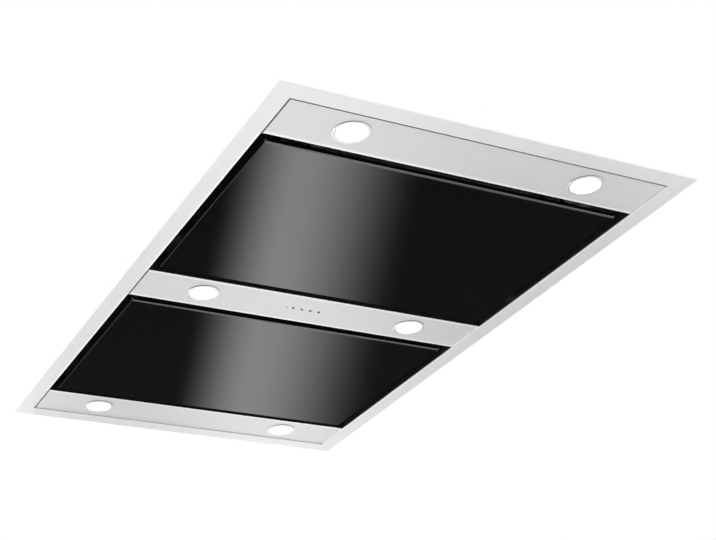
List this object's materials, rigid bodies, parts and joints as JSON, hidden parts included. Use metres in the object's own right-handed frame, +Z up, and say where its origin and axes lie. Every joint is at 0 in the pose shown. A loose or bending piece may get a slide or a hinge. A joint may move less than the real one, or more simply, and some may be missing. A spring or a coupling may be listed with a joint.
{
  "type": "ceiling range hood",
  "caption": "Flush ceiling range hood with brushed steel face, hinged black glass suction panels, round spot lamps, push buttons and an inside fan with a round duct collar.",
  "frame": {"origin": "centre of the hood in plan, on the underside of the border", "axes": "+Y from the front strip to the rear strip, +Z up into the ceiling, +X to the right"},
  "size_m": [0.7, 1.2, 0.38],
  "materials": {
    "brushed_face": "fine brushed stainless steel, light",
    "galvanised_sheet": "galvanised sheet, dull",
    "black_glass": "toughened glass, painted black behind, polished edges",
    "seal_foam": "closed-cell foam",
    "lamp_trim": "satin plated ring",
    "lamp_lens": "frosted diffuser, lit",
    "cast_aluminium": "die cast, matt",
    "spring_steel": "bright spring steel",
    "button_black": "moulded, satin",
    "light_pipe": "clear moulding",
    "board_green": "solder resist",
    "moulded_grey": "moulded, fine texture",
    "moulded_black": "moulded, fine texture",
    "anodised_filter": "rolled aluminium",
    "filter_mesh": "layers of expanded mesh",
    "plated_steel": "zinc plated",
    "motor_paint": "dark powder coat",
    "core_steel": "stacked laminations"
  },
  "bodies": {
    "housing": {"border_frame": "brushed_face", "light_strip_front": "brushed_face", "light_strip_rear": "brushed_face", "control_strip": "brushed_face", "ceiling_seal": "seal_foam", "casing_side_left": "galvanised_sheet", "casing_side_right": "galvanised_sheet", "casing_end_front": "galvanised_sheet", "casing_end_rear": "galvanised_sheet", "casing_roof": "galvanised_sheet", "hanging_brackets": "plated_steel", "strip_screws": "plated_steel", "short_screws": "plated_steel", "catch_magnets": "moulded_black", "hinge_brackets": "plated_steel", "hinge_pins": "plated_steel", "filter_deck_front": "galvanised_sheet", "filter_deck_rear": "galvanised_sheet", "filter_frame_front": "anodised_filter", "filter_frame_rear": "anodised_filter", "filter_meshes": "filter_mesh", "filter_hooks": "spring_steel", "lamp_bezels": "lamp_trim", "lamp_lenses": "lamp_lens", "lamp_bodies": "cast_aluminium", "lamp_clips": "spring_steel", "indicator_pipe": "light_pipe", "control_board": "board_green", "key_switches": "moulded_black", "board_tray": "moulded_grey", "scroll_wall": "galvanised_sheet", "scroll_side_front": "galvanised_sheet", "scroll_side_rear": "galvanised_sheet", "fan_straps": "plated_steel", "motor_shell": "motor_paint", "motor_bearings": "plated_steel", "motor_stator": "core_steel", "motor_bracket": "plated_steel", "outlet_transition": "galvanised_sheet", "outlet_collar": "moulded_black", "flap_pin": "spring_steel", "terminal_box": "moulded_grey", "terminal_cover": "moulded_grey", "cable_gland": "moulded_black", "lamp_driver": "moulded_grey", "fan_control_box": "moulded_grey"},
    "panel_front": {"glass_panel_front": "black_glass", "panel_carrier_front": "galvanised_sheet"},
    "panel_rear": {"glass_panel_rear": "black_glass", "panel_carrier_rear": "galvanised_sheet"},
    "latch_front": {"filter_latch_front": "moulded_black"},
    "latch_rear": {"filter_latch_rear": "moulded_black"},
    "fan": {"impeller": "moulded_black", "motor_rotor": "core_steel"},
    "flap_left": {"damper_flap_left": "moulded_grey"},
    "flap_right": {"damper_flap_right": "moulded_grey"},
    "key_1": {"button_1": "button_black"},
    "key_2": {"button_2": "button_black"},
    "key_3": {"button_3": "button_black"},
    "key_4": {"button_4": "button_black"}
  },
  "joints": [
    {"name": "front_panel_hinge", "type": "hinge", "parent": "housing", "child": "panel_front", "pos_m": [0, -0.455, 0.016], "axis": [-1, 0, 0], "range_deg": [0, 90]},
    {"name": "rear_panel_hinge", "type": "hinge", "parent": "housing", "child": "panel_rear", "pos_m": [0, 0.455, 0.016], "axis": [1, 0, 0], "range_deg": [0, 90]},
    {"name": "front_latch_slide", "type": "slide", "parent": "housing", "child": "latch_front", "axis": [0, -1, 0], "range_m": [0, 0.008], "stiffness_N_per_m": 300, "springref_m": -0.004},
    {"name": "rear_latch_slide", "type": "slide", "parent": "housing", "child": "latch_rear", "axis": [0, 1, 0], "range_m": [0, 0.008], "stiffness_N_per_m": 300, "springref_m": -0.004},
    {"name": "fan_spin", "type": "hinge", "parent": "housing", "child": "fan", "pos_m": [-0.059, 0, 0.185], "axis": [0, 1, 0], "continuous": true},
    {"name": "left_flap_hinge", "type": "hinge", "parent": "housing", "child": "flap_left", "pos_m": [0, 0, 0.348], "axis": [0, 1, 0], "range_deg": [0, 75]},
    {"name": "right_flap_hinge", "type": "hinge", "parent": "housing", "child": "flap_right", "pos_m": [0, 0, 0.348], "axis": [0, -1, 0], "range_deg": [0, 75]},
    {"name": "button_1_press", "type": "slide", "parent": "housing", "child": "key_1", "axis": [0, 0, 1], "range_m": [0, 0.001], "stiffness_N_per_m": 600, "springref_m": -0.0005},
    {"name": "button_2_press", "type": "slide", "parent": "housing", "child": "key_2", "axis": [0, 0, 1], "range_m": [0, 0.001], "stiffness_N_per_m": 600, "springref_m": -0.0005},
    {"name": "button_3_press", "type": "slide", "parent": "housing", "child": "key_3", "axis": [0, 0, 1], "range_m": [0, 0.001], "stiffness_N_per_m": 600, "springref_m": -0.0005},
    {"name": "button_4_press", "type": "slide", "parent": "housing", "child": "key_4", "axis": [0, 0, 1], "range_m": [0, 0.001], "stiffness_N_per_m": 600, "springref_m": -0.0005}
  ]
}
